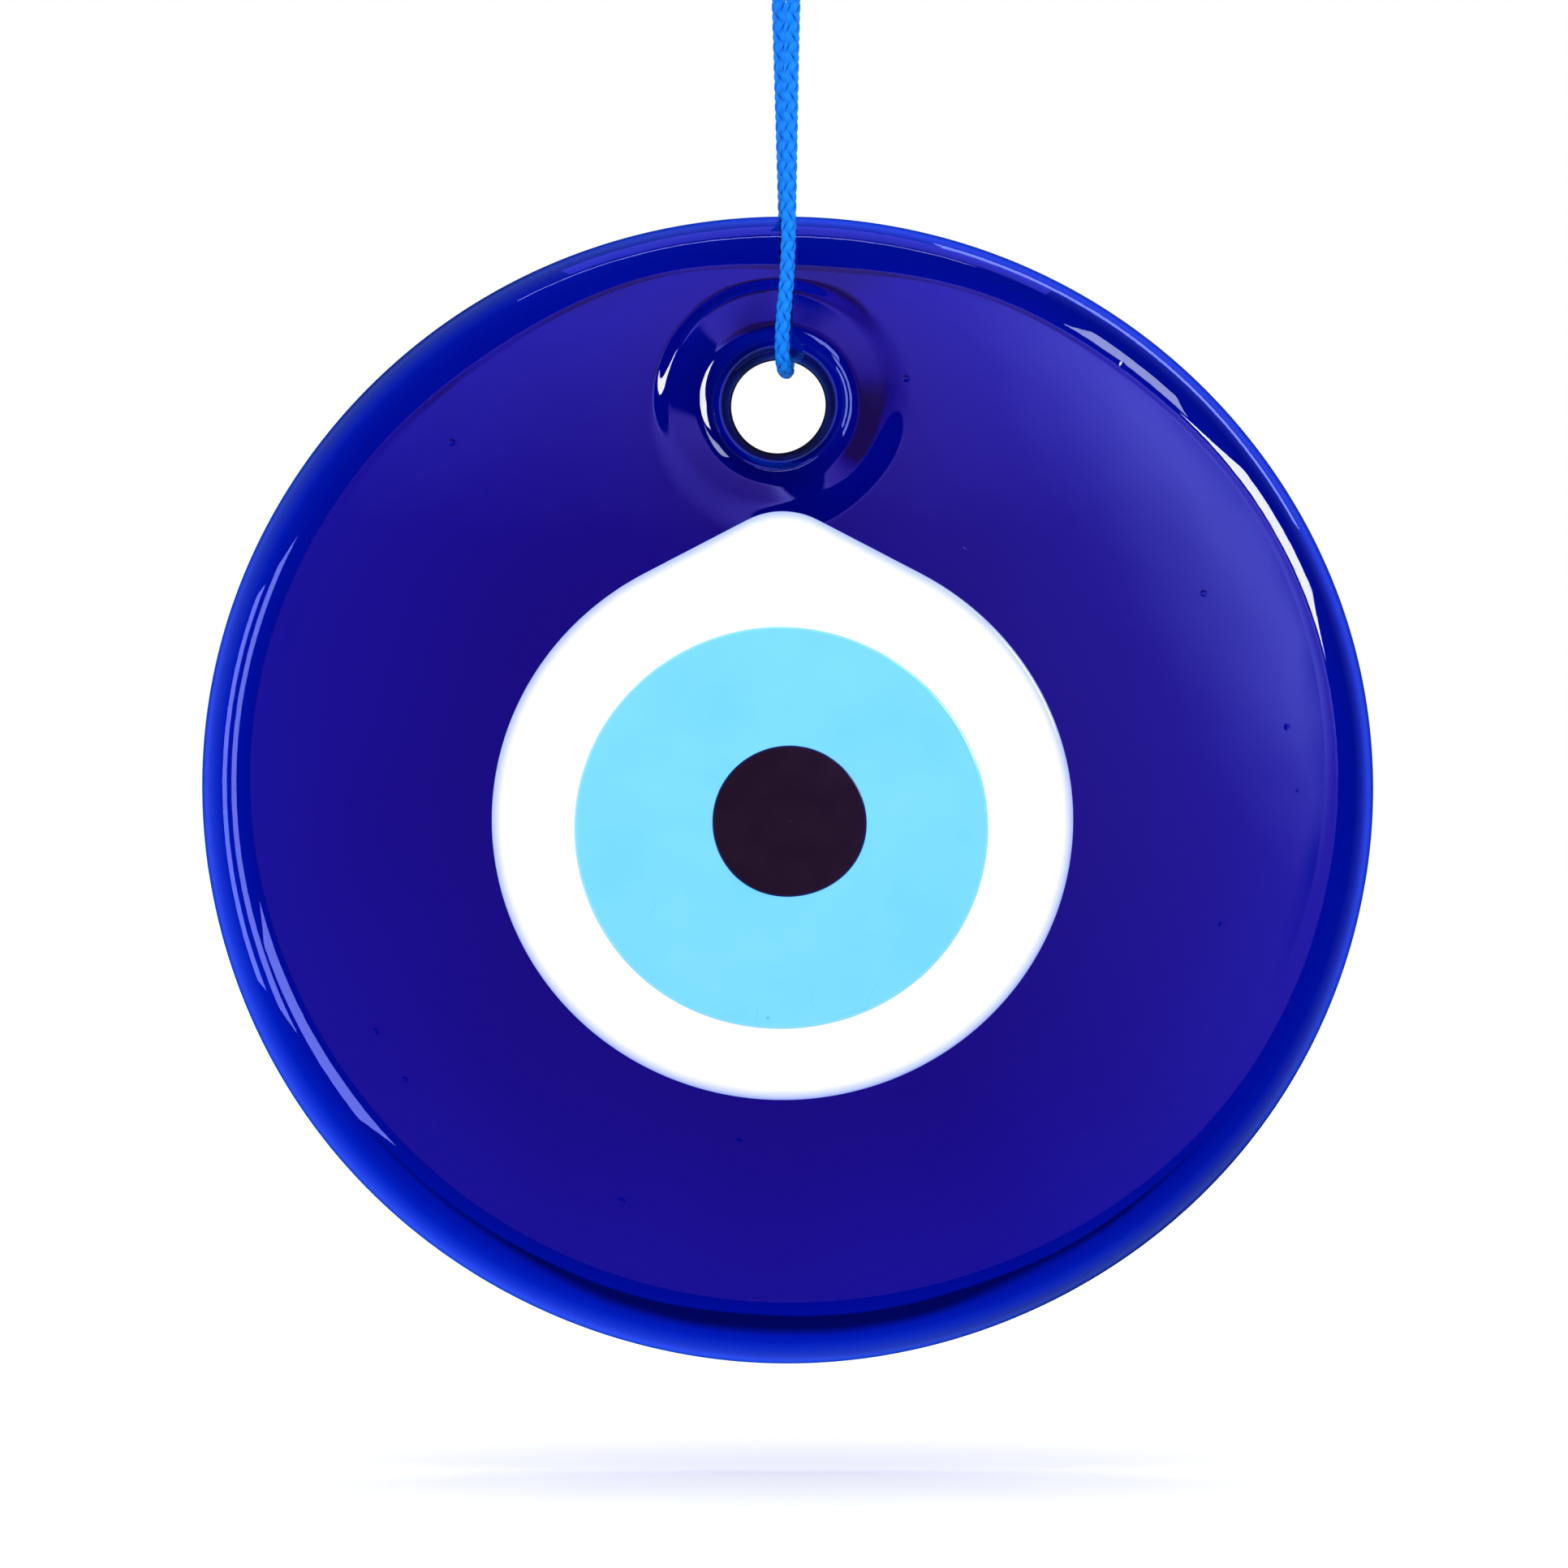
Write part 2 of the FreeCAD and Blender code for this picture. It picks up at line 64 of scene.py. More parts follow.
def box_mm(node):
    """A node's lowest and highest corners in millimetres."""
    low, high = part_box(node)
    return np.array(low) / MM, np.array(high) / MM


GLASS_LOW, GLASS_HIGH = box_mm("glass_body")
CENTRE = (GLASS_LOW + GLASS_HIGH) / 2
HALF_WIDTH, _, HALF_HEIGHT = (GLASS_HIGH - GLASS_LOW) / 2
BACK = GLASS_HIGH[1]
CREST = box_mm("pupil")[0][1]
MOUNTS = {mount["name"]: mount for mount in frame["record"]["mounts"]}
HOLE = np.array(MOUNTS["cord_hole"]["pos_m"]) / MM - CENTRE
HOLE_RADIUS = MOUNTS["cord_hole"]["dims"]["r_mm"]

# The dome falls by DOME_SAG at DOME_REACH from the middle.
DOME_REACH = 44.0
DOME_SAG = 1.8
DOME_RADIUS = (DOME_REACH**2 + DOME_SAG**2) / (2 * DOME_SAG)
# Rounding of the rim. Its width over the front changes round the disc, and it is tighter at the back.
RIM_WIDTH = 4.83
RIM_WIDTH_TO_RIGHT = -0.75
RIM_WIDTH_TO_TOP = -0.8
RIM_WIDTH_SIDES = -0.58
RIM_BACK = 1.6
# The hole's profile by distance from its middle: a sunk collar, a rounded ring and the lip.
COLLAR_REACH = 13.0
# The rings of points about the collar stay this far from the rim.
RIM_GAP = 0.8
# Two parts of the step round the collar: its middle from +X and its spread in degrees, and its depth.
CRISP_STEP = (120, 52, 0.56)
WIDE_STEP = (312, 40, 0.6)
RING_RADIUS = 7.0
LIP_RADIUS = 4.7
LIP_DEPTH = 2.8
HOLE_BACK_ROUND = 0.4
# The piercing tool leaves dark scale on the hole's wall. The glass about the hole is darkened a little too,
# as painted shade round the sunk collar.
SCALE_FADE = 0.7
HOLE_PAINTED_SHADE = 0.38
HOLE_PAINTED_SHADE_REACH = 18.0
# How far each poured colour stands proud of the one below it, and how far its edge rounds into the glass.
PROUD = 0.025
SPOT_ROUNDING = 0.35
# The white drop: half the height of its round part, its tip's radius and its flanks' slope.
DROP_HALF_HEIGHT = 23.7
DROP_TIP_RADIUS = 6.4
DROP_FLANK = math.radians(62.5)
DROP_INSET = 0.2


# ---------------- mesh helpers


def new_object(name, vertices, faces, material=None):
    """A smooth-shaded mesh object from points in millimetres."""
    mesh = bpy.data.meshes.new(name)
    mesh.from_pydata((np.asarray(vertices) * MM).tolist(), [], faces)
    mesh.validate()
    mesh.polygons.foreach_set("use_smooth", [True] * len(mesh.polygons))
    obj = bpy.data.objects.new(name, mesh)
    bpy.context.scene.collection.objects.link(obj)
    if material:
        mesh.materials.append(material)
    return obj


def grid_faces(rings, around, closed_rings=False, start=0):
    """Quads between rings of points, each ring closed on itself. The rings' loop may be closed too."""
    faces = []
    last = rings if closed_rings else rings - 1
    for ring in range(last):
        here = start + ring * around
        there = start + (ring + 1) % rings * around
        for step in range(around):
            after = (step + 1) % around
            faces.append((here + step, there + step, there + after, here + after))
    return faces


def outline(angle):
    """Points and outward unit normals of the disc's outline, which is slightly uneven like poured glass."""
    uneven = 1 + 0.0012 * np.cos(2 * angle - 5.2) + 0.0008 * np.sin(3 * angle + 1)
    uneven += 0.0004 * np.sin(7 * angle)
    x = HALF_WIDTH * uneven * np.cos(angle)
    z = HALF_HEIGHT * uneven * np.sin(angle)
    normal = np.stack([HALF_HEIGHT * np.cos(angle), HALF_WIDTH * np.sin(angle)], axis=-1)
    normal /= np.linalg.norm(normal, axis=-1, keepdims=True)
    return np.stack([x, z], axis=-1), normal


def rim_width(angle):
    """Width of the rounded rim over the front at each angle from +X."""
    width = RIM_WIDTH + RIM_WIDTH_TO_RIGHT * np.cos(angle) + RIM_WIDTH_TO_TOP * np.sin(angle)
    width += RIM_WIDTH_SIDES * np.cos(2 * angle)
    top = np.exp(-(((angle - math.pi / 2) / 0.7) ** 2))
    return width + 0.35 * top * np.sin(9 * angle + 0.6) + 0.12 * np.sin(5 * angle + 2)


def bell(angle, middle, spread):
    """1 at the middle angle in degrees, falling to 0 away from it."""
    away = (angle - math.radians(middle) + math.pi) % TURN - math.pi
    return np.exp(-((away / math.radians(spread)) ** 2))


def collar(distance, angle):
    """How far the glass is sunk about the hole: crisply at the upper left, softly at the lower right."""
    crisp = bell(angle, *CRISP_STEP[:2])
    wide = bell(angle, *WIDE_STEP[:2])
    depth = 0.05 + CRISP_STEP[2] * crisp + WIDE_STEP[2] * wide
    middle = 10.1 - 0.45 * wide
    half = 2.0 - 1.6 * crisp**0.25 - 0.75 * wide
    share = np.clip((middle + half - distance) / (2 * half), 0, 1)
    bowl = 0.10 * np.clip((middle - distance) / (middle - LIP_RADIUS), 0, 1) ** 2
    return depth * share * share * (3 - 2 * share) + bowl


def ring_fall(distance):
    """How far the rounded ring falls below the collar towards the lip."""
    inside = np.clip((RING_RADIUS - distance) / (RING_RADIUS - LIP_RADIUS), 0, 1)
    return 1 - np.sqrt(np.maximum(1 - inside**2, 0))


def front(x, z):
    """Place along Y of the front: the dome, its slight waves, and the collar and ring about the hole."""
    distance = np.hypot(x - HOLE[0], z - HOLE[2])
    angle = np.arctan2(z - HOLE[2], x - HOLE[0])
    waves = 0.012 * np.sin(0.13 * x + 0.09 * z + 1) + 0.008 * np.sin(0.05 * x - 0.21 * z + 2)
    dome = CREST + (x**2 + z**2) / (2 * DOME_RADIUS)
    sunk = collar(distance, angle)
    return dome + waves + sunk + (LIP_DEPTH - sunk) * ring_fall(distance)


# ---------------- glass


def ring_points(x, y, z):
    """One ring of points in the row's frame from places about the disc's centre."""
    y = np.broadcast_to(y, np.shape(x))
    return np.stack([x + CENTRE[0], y, z + CENTRE[2]], axis=-1)


def make_glass(material):
    """The pierced disc as a closed loop of rings: up the hole, over the front, round the rim and back."""
    around = 512
    angle = np.arange(around) * TURN / around
    edge, normal = outline(angle)
    from_hole = edge - HOLE[[0, 2]]
    hole_direction = from_hole / np.linalg.norm(from_hole, axis=1, keepdims=True)
    hole_angle = np.arctan2(hole_direction[:, 1], hole_direction[:, 0])
    uneven = 1 + 0.012 * np.sin(2 * hole_angle + 0.7) + 0.006 * np.sin(3 * hole_angle)

    def about_hole(distance, wobble=1.0):
        spot = HOLE[[0, 2]] + hole_direction * (distance * (1 + (uneven - 1) * wobble))[:, None]
        return spot[:, 0], spot[:, 1]

    every = np.ones(around)
    rings = []
    # The back edge of the hole and its tapered wall.
    for turn in np.linspace(0, math.pi / 2, 6):
        x, z = about_hole(every * (HOLE_RADIUS + HOLE_BACK_ROUND * (1 - math.sin(turn))))
        rings.append(ring_points(x, BACK - HOLE_BACK_ROUND * (1 - math.cos(turn)), z))
    lip_x, lip_z = about_hole(every * LIP_RADIUS)
    lip_plane = front(lip_x, lip_z)
    bore_start = BACK - HOLE_BACK_ROUND
    for share in np.linspace(0, 1, 8)[1:]:
        x, z = about_hole(every * (HOLE_RADIUS + share * (LIP_RADIUS - HOLE_RADIUS)))
        rings.append(ring_points(x, bore_start + share * (lip_plane - bore_start), z))
    # The rounded ring and the collar.
    ring_width = RING_RADIUS - LIP_RADIUS
    for turn in np.linspace(0, math.pi / 2, 17)[1:]:
        x, z = about_hole(every * (LIP_RADIUS + ring_width * (1 - math.cos(turn))))
        rings.append(ring_points(x, front(x, z), z))
    width = rim_width(angle)
    inner = edge - normal * width[:, None]
    reach = np.minimum(COLLAR_REACH, np.linalg.norm(from_hole, axis=1) - 1.25 * width - RIM_GAP)
    for share in np.linspace(0, 1, 34)[1:]:
        x, z = about_hole(RING_RADIUS + share * (reach - RING_RADIUS), wobble=0.5)
        rings.append(ring_points(x, front(x, z), z))
    # The face, from the collar to the start of the rim.
    start_x, start_z = about_hole(reach + RIM_GAP / 4, wobble=0.5)
    for share in np.linspace(0, 1, 44) ** 1.1:
        x = start_x + share * (inner[:, 0] - start_x)
        z = start_z + share * (inner[:, 1] - start_z)
        rings.append(ring_points(x, front(x, z), z))
    # The rim, rounded widely at the front and tightly at the back.
    equator = BACK - RIM_BACK
    face = front(inner[:, 0], inner[:, 1])
    for turn in np.linspace(0, math.pi / 2, 27)[1:]:
        spot = edge - normal * (width * (1 - math.sin(turn)))[:, None]
        rings.append(ring_points(spot[:, 0], face + (equator - face) * (1 - math.cos(turn)), spot[:, 1]))
    for turn in np.linspace(0, math.pi / 2, 13)[1:]:
        spot = edge - normal * (RIM_BACK * (1 - math.cos(turn)))
        rings.append(ring_points(spot[:, 0], equator + RIM_BACK * math.sin(turn), spot[:, 1]))
    # The flat back, almost to the hole.
    rim_back = edge - normal * RIM_BACK
    end_x, end_z = about_hole(every * (HOLE_RADIUS + HOLE_BACK_ROUND))
    for share in np.linspace(0, 1, 24)[1:-1]:
        x = rim_back[:, 0] + share * (end_x - rim_back[:, 0])
        z = rim_back[:, 1] + share * (end_z - rim_back[:, 1])
        rings.append(ring_points(x, back_face(x, z), z))
    faces = grid_faces(len(rings), around, closed_rings=True)
    points = np.concatenate(rings)
    glass = new_object("blue_glass", points, faces, material)
    distance = np.hypot(points[:, 0] - CENTRE[0] - HOLE[0], points[:, 2] - CENTRE[2] - HOLE[2])
    scale = np.clip((LIP_RADIUS + SCALE_FADE - distance) / SCALE_FADE, 0, 1)
    # Painted shade: the glass about the hole is darkened a little, fading out with distance. The scale
    # layer carries it together with the dark scale on the wall.
    painted_shade = HOLE_PAINTED_SHADE * np.clip((HOLE_PAINTED_SHADE_REACH - distance) / (HOLE_PAINTED_SHADE_REACH - RING_RADIUS), 0, 1) ** 2
    scale = np.maximum(scale, np.minimum(painted_shade, HOLE_PAINTED_SHADE))
    layer = glass.data.attributes.new("scale", "FLOAT", "POINT")
    layer.data.foreach_set("value", scale.astype(np.float32))
    return glass


def back_face(x, z):
    """Place along Y of the back, flat but for the faint ripples of the plate it was poured on."""
    inside = np.clip((HALF_HEIGHT - RIM_BACK - np.hypot(x, z)) / 6, 0, 1)
    hole = np.clip((np.hypot(x - HOLE[0], z - HOLE[2]) - 5) / 3, 0, 1)
    ripples = 0.05 * np.sin(0.35 * x + 0.8 * np.sin(0.2 * z)) + 0.04 * np.sin(0.3 * z + np.sin(0.25 * x))
    return BACK - (0.08 + ripples) * inside * hole


def ellipse(angle, half_width, half_height):
    """Distance from an ellipse's centre to its edge at each angle."""
    return half_width * half_height / np.hypot(half_height * np.cos(angle), half_width * np.sin(angle))


def drop_outline(angle):
    """Distance from the drop's centre to its outline: an ellipse, straight flanks and a round tip."""
    low, high = box_mm("white_drop")
    half_width = (high[0] - low[0]) / 2 - DROP_INSET
    across, up = math.cos(DROP_FLANK), math.sin(DROP_FLANK)
    reach = math.hypot(half_width * across, DROP_HALF_HEIGHT * up)
    from_top = np.abs((angle - math.pi / 2 + math.pi) % TURN - math.pi)
    straight = reach / np.cos(from_top - (math.pi / 2 - DROP_FLANK))
    tip_centre = (reach - DROP_TIP_RADIUS) / up
    off_axis = tip_centre * np.sin(from_top)
    tip = tip_centre * np.cos(from_top) + np.sqrt(np.maximum(DROP_TIP_RADIUS**2 - off_axis**2, 0))
    # The flanks touch the ellipse and the tip at these angles from the top.
    touch = math.atan2(half_width**2 * across, DROP_HALF_HEIGHT**2 * up)
    tip_touch = math.atan2(DROP_TIP_RADIUS * across, tip_centre + DROP_TIP_RADIUS * up)
    below = np.where(from_top < touch, straight, ellipse(angle, half_width, DROP_HALF_HEIGHT))
    return np.where(from_top < tip_touch, tip, below)


def spot_outline(node, waves):
    """A function for the distance from a spot's centre to its slightly uneven elliptical outline."""
    low, high = box_mm(node)
    half_width, _, half_height = (high - low) / 2

    def distance(angle):
        uneven = 1 + sum(size * np.sin(n * angle + n * n) for n, size in waves)
        return ellipse(angle, half_width, half_height) * uneven

    return distance


def make_spot(name, node, centre, outline_of, order, material):
    """A poured colour: a closed lens, its front on the disc's face and its rounded back in the glass."""
    around = 320
    angle = np.arange(around) * TURN / around
    reach = outline_of(angle)
    _, high = box_mm(node)
    floor = high[1]
    rings = []
    for share in 1 - np.linspace(1, 0, 40) ** 1.25 * 0.999:
        x = centre[0] + share * reach * np.cos(angle)
        z = centre[1] + share * reach * np.sin(angle)
        rings.append(ring_points(x, front(x, z) - PROUD * order, z))
    rim_y = rings[-1][:, 1]
    for turn in np.linspace(0, math.pi / 2, 9)[1:]:
        inset = reach - SPOT_ROUNDING * (1 - math.cos(turn))
        x = centre[0] + inset * np.cos(angle)
        z = centre[1] + inset * np.sin(angle)
        rings.append(ring_points(x, rim_y + (floor - rim_y) * math.sin(turn), z))
    for share in np.linspace(1, 0.001, 14)[1:]:
        x = centre[0] + share * (reach - SPOT_ROUNDING) * np.cos(angle)
        z = centre[1] + share * (reach - SPOT_ROUNDING) * np.sin(angle)
        rings.append(ring_points(x, floor, z))
    faces = grid_faces(len(rings), around)
    faces.append(tuple(reversed(range(around))))
    last = (len(rings) - 1) * around
    faces.append(tuple(range(last, last + around)))
    obj = new_object(name, np.concatenate(rings), faces, material)
    layer = obj.data.attributes.new("edge_mm", "FLOAT", "POINT")
    centre_row = np.array([centre[0] + CENTRE[0], centre[1] + CENTRE[2]])
    points = np.concatenate(rings)[:, [0, 2]] - centre_row
    own_angle = np.arctan2(points[:, 1], points[:, 0])
    from_edge = outline_of(own_angle) - np.hypot(points[:, 0], points[:, 1])
    layer.data.foreach_set("value", from_edge.astype(np.float32))
    return obj


# ---------------- materials


class Nodes:
    """Short names for making and joining the nodes of a material or of the world."""

    def __init__(self, tree):
        self.tree = tree

    def set(self, **values):
        for key, value in values.items():
            self.shader.inputs[key.replace("_", " ")].default_value = value

    def join(self, source, socket):
        self.tree.links.new(source, self.shader.inputs[socket])

    def add(self, kind, inputs=None, **settings):
        node = self.tree.nodes.new(kind)
        for key, value in settings.items():
            setattr(node, key, value)
        for key, value in (inputs or {}).items():
            if isinstance(value, bpy.types.NodeSocket):
                self.tree.links.new(value, node.inputs[key])
            else:
                node.inputs[key].default_value = value
        return node

    def coordinates(self, scale=1.0):
        place = self.add("ShaderNodeTexCoord").outputs["Object"]
        mapping = self.add("ShaderNodeMapping", {"Vector": place, "Scale": (scale, scale, scale)})
        return mapping.outputs["Vector"]

    def noise(self, vector, scale, detail=2.0, roughness=0.5, distortion=0.0):
        inputs = {"Vector": vector, "Scale": scale, "Detail": detail}
        inputs.update({"Roughness": roughness, "Distortion": distortion})
        return self.add("ShaderNodeTexNoise", inputs).outputs["Fac"]

    def ramp(self, value, low, high, low_to=0.0, high_to=1.0):
        inputs = {"Value": value, "From Min": low, "From Max": high, "To Min": low_to, "To Max": high_to}
        return self.add("ShaderNodeMapRange", inputs).outputs["Result"]

    def math(self, operation, first, second=0.0):
        return self.add("ShaderNodeMath", {0: first, 1: second}, operation=operation).outputs[0]

    def mix(self, factor, first, second):
        node = self.add("ShaderNodeMix", data_type="RGBA")
        for socket, value in (("Factor_Float", factor), ("A_Color", first), ("B_Color", second)):
            target = next(i for i in node.inputs if i.identifier == socket)
            if isinstance(value, bpy.types.NodeSocket):
                self.tree.links.new(value, target)
            else:
                target.default_value = value
        return next(o for o in node.outputs if o.identifier == "Result_Color")

    def plus(self, first, second):
        return self.add("ShaderNodeVectorMath", {0: first, 1: second}, operation="ADD").outputs[0]

    def bump(self, height, strength, distance, normal=None):
        inputs = {"Height": height, "Strength": strength, "Distance": distance}
        if normal is not None:
            inputs["Normal"] = normal
        return self.add("ShaderNodeBump", inputs).outputs["Normal"]


def new_material(name):
    """A material's nodes, with its shader and output at hand."""
    material = bpy.data.materials.new(name)
    material.use_nodes = True
    nodes = Nodes(material.node_tree)
    nodes.material = material
    nodes.shader = material.node_tree.nodes["Principled BSDF"]
    nodes.output = material.node_tree.nodes["Material Output"]
    return nodes


def glass_surface(nodes, ripple):
    """The skin that every glass colour has: fire-polished, with faint ripples and a few pinholes."""
    place = nodes.coordinates(1 / MM)
    ripples = nodes.noise(place, 0.12, detail=1.0)
    fine = nodes.noise(place, 1.1, detail=2.0)
    spots = nodes.add("ShaderNodeTexVoronoi", {"Vector": place, "Scale": 0.16}).outputs["Distance"]
    pinholes = nodes.ramp(spots, 0.02, 0.05)
    waves = nodes.bump(ripples, 1.0, ripple * MM)
    holes = nodes.bump(pinholes, 0.5, 0.03 * MM, waves)
    nodes.join(holes, "Normal")
    smudge = nodes.ramp(fine, 0.35, 0.75, 0.012, 0.035)
    nodes.join(smudge, "Roughness")
    return place


def cobalt_glass():
    """Clear deep-blue glass that takes its colour from its depth."""
    nodes = new_material("cobalt_glass")
    glass_surface(nodes, 0.02)
    # The scale layer darkens the glass: dark scale on the hole's wall, and painted shade about the hole.
    scale = nodes.add("ShaderNodeAttribute", attribute_name="scale").outputs["Fac"]
    nodes.join(nodes.mix(scale, (1, 1, 1, 1), (0.05, 0.02, 0.06, 1)), "Base Color")
    nodes.set(IOR=1.52, Transmission_Weight=1.0)
    absorb = nodes.add("ShaderNodeVolumeAbsorption", {"Color": (0.0, 0.45, 0.85, 1), "Density": 2000.0})
    nodes.tree.links.new(absorb.outputs["Volume"], nodes.output.inputs["Volume"])
    return nodes.material


def edge_tint(nodes, inner, outer, width):
    """A poured colour that takes a little of its neighbour's tint along its edge."""
    edge = nodes.add("ShaderNodeAttribute", attribute_name="edge_mm").outputs["Fac"]
    return nodes.mix(nodes.ramp(edge, 0.0, width), outer, inner)


def white_glass():
    """Opaque white glass with a faint milky unevenness."""
    nodes = new_material("white_glass")
    place = glass_surface(nodes, 0.02)
    cloud = nodes.ramp(nodes.noise(place, 0.3, detail=3.0), 0.3, 0.7)
    milk = nodes.mix(cloud, (0.93, 0.94, 0.96, 1), (0.96, 0.96, 0.97, 1))
    nodes.join(edge_tint(nodes, milk, (0.35, 0.45, 0.93, 1), 0.9), "Base Color")
    nodes.set(IOR=1.5, Specular_IOR_Level=0.5)
    return nodes.material


def iris_glass():
    """Opaque pale-blue glass with the thin swirls and specks that stirring leaves in it."""
    nodes = new_material("pale_blue_glass")
    place = glass_surface(nodes, 0.02)
    cloud = nodes.ramp(nodes.noise(place, 0.15, detail=2.0), 0.3, 0.7)
    body = nodes.mix(cloud, (0.165, 0.625, 0.95, 1), (0.19, 0.66, 0.98, 1))
    swirl = nodes.noise(place, 0.055, detail=1.5, roughness=0.4, distortion=2.4)
    line = nodes.math("ABSOLUTE", nodes.math("SUBTRACT", swirl, 0.52))
    thin = nodes.ramp(line, 0.0, 0.0035, 1.0, 0.0)
    patchy = nodes.ramp(nodes.noise(place, 0.11, detail=1.0), 0.5, 0.62)
    threads = nodes.math("MULTIPLY", nodes.math("MULTIPLY", thin, patchy), 0.35)
    swirled = nodes.mix(threads, body, (0.07, 0.40, 0.80, 1))
    specks = nodes.add("ShaderNodeTexVoronoi", {"Vector": place, "Scale": 0.14}).outputs["Distance"]
    dots = nodes.ramp(specks, 0.012, 0.026, 0.55, 0.0)
    dotted = nodes.mix(dots, swirled, (0.05, 0.22, 0.45, 1))
    nodes.join(edge_tint(nodes, dotted, (0.30, 0.74, 0.99, 1), 0.25), "Base Color")
    nodes.set(IOR=1.5)
    return nodes.material


def pupil_glass():
    """Black glass with a trace of brown and a dark-blue edge."""
    nodes = new_material("black_glass")
    place = glass_surface(nodes, 0.02)
    cloud = nodes.ramp(nodes.noise(place, 0.4, detail=3.0), 0.35, 0.7)
    body = nodes.mix(cloud, (0.006, 0.003, 0.005, 1), (0.009, 0.005, 0.008, 1))
    nodes.join(edge_tint(nodes, body, (0.0, 0.02, 0.16, 1), 0.16), "Base Color")
    nodes.set(IOR=1.5)
    return nodes.material


def braid_nylon():
    """Bright blue nylon yarn: fine filaments along each yarn, and painted shade that darkens the gaps
    between yarns.
    """
    nodes = new_material("cord_braid")
    uv = nodes.add("ShaderNodeUVMap", uv_map="yarn").outputs["UV"]
    stretched = nodes.add("ShaderNodeMapping", {"Vector": uv, "Scale": (1.2, 14.0, 1.0)})
    filaments = nodes.noise(stretched.outputs["Vector"], 1.0, detail=3.0, roughness=0.6)
    # Painted shade: the height layer makes the yarns darker where they dip and on their inner sides, and
    # the core between them darkest.
    depth = nodes.add("ShaderNodeAttribute", attribute_name="height").outputs["Fac"]
    lit = nodes.ramp(depth, 0.0, 1.0)
    shaded_dye = nodes.mix(lit, (0.0, 0.025, 0.34, 1), (0.004, 0.2, 0.88, 1))
    tone = nodes.mix(nodes.ramp(filaments, 0.3, 0.7, 0.0, 0.35), shaded_dye, (0.008, 0.37, 1.0, 1))
    nodes.join(tone, "Base Color")
    nodes.join(nodes.ramp(filaments, 0.3, 0.7, 0.45, 0.6), "Roughness")
    nodes.join(nodes.bump(filaments, 0.6, 0.03 * MM), "Normal")
    nodes.set(Specular_IOR_Level=0.06)
    return nodes.material


def floor_material():
    """Matt white paper."""
    nodes = new_material("studio_floor")
    place = nodes.coordinates(1 / MM)
    grain = nodes.noise(place, 0.8, detail=4.0)
    nodes.join(nodes.mix(grain, (0.69, 0.71, 0.97, 1), (0.71, 0.73, 0.985, 1)), "Base Color")
    nodes.set(Roughness=1.0, Specular_IOR_Level=0.0)
    return nodes.material


# ---------------- cord

# One turn of a yarn round the cord, and the yarns that go each way.
LAY_LENGTH = 6.8
YARNS_EACH_WAY = 4
YARN_HALF_WIDTH = 0.33
YARN_HALF_THICKNESS = 0.15
YARN_RADIUS = 0.42
YARN_WEAVE = 0.085
# Each yarn's filaments start this much further along their pattern than the last yarn's.
YARN_SHIFT = 3.7
# Distance between the points that the yarns follow.
LINE_STEP = 0.16
# The necks end and the legs begin at this height.
LEGS_TOP = -4.0
# The melted bead at the end of each tail.
BEAD_RADIUS = 0.66
BEAD_LENGTH = 1.3

# The loop, in metres, from the knot down the left leg, through the hole and up the right leg.
LOOP_ROUTE = [
    (-0.00067, 0.0, 0.0026),
    (-0.00067, 0.0, 0.00175),
    (-0.00168, 0.0, 0.0001),
    (-0.00168, 0.0, -0.0012),
    (-0.00142, 0.0007, -0.009),
    (-0.00072, 0.0026, -0.03),
    (-0.00033, 0.00384, -0.0428),
    (-0.0001, 0.0046, -0.0506),
    (0.0, 0.0046, -0.05975),
    (0.0, 0.0042, -0.06215),
    (-0.0001, 0.0019, -0.0623),
    (-0.0003, -0.0016, -0.06225),
    (-0.00045, -0.00315, -0.0611),
    (-0.0004, -0.00385, -0.0584),
    (0.00005, -0.0038, -0.0542),
    (0.00018, -0.0032, -0.0464),
    (0.00047, -0.002, -0.03),
    (0.00135, -0.00054, -0.009),
    (0.00168, 0.0, -0.0012),
    (0.00168, 0.0, 0.0001),
    (0.00067, 0.0, 0.00175),
    (0.00067, 0.0, 0.0026),
]

# The overhand knot tied in both strands together: its route about its middle in metres, and how the pair
# lies along it, from side by side along X at 0 degrees to one above the other at 90.
KNOT_MIDDLE = 0.00475
STRAND_GAP = 0.00064
KNOT_ROUTE = [
    ((0.0, 0.0002, -0.0012), 0),
    ((-0.0004, 0.0006, 0.0001), 20),
    ((-0.0010, 0.0007, 0.0010), 60),
    ((-0.0020, -0.0004, 0.0008), 90),
    ((-0.0010, -0.0019, 0.0004), 75),
    ((0.0009, -0.0019, -0.0003), 70),
    ((0.0020, -0.0008, -0.0007), 80),
    ((0.0018, 0.0012, -0.0006), 90),
    ((0.0, 0.0021, -0.0004), 90),
    ((-0.0018, 0.0011, -0.0006), 90),
    ((-0.0018, -0.0008, -0.0008), 90),
    ((-0.0006, -0.0012, -0.0004), 60),
    ((0.0004, -0.0004, 0.0008), 20),
]
TAIL_ROUTE = [(0.00067, 0.0, 0.0069), (0.00067, 0.0, 0.0079), (0.0013, -0.0005, 0.0101)]


def strand_route(hand):
    """Control points of a strand through the knot to its tail. Hand is -1 for the left, 1 for the right."""
    route = [(hand * STRAND_GAP, 0.0, 0.0023), (hand * STRAND_GAP, 0.0, 0.0028)]
    for (x, y, z), tilt in KNOT_ROUTE:
        turn = math.radians(tilt)
        aside = hand * STRAND_GAP
        route.append((x + aside * math.cos(turn), y, KNOT_MIDDLE + z + aside * math.sin(turn)))
    route += [(hand * x, hand * y, z) for x, y, z in TAIL_ROUTE]
    return route


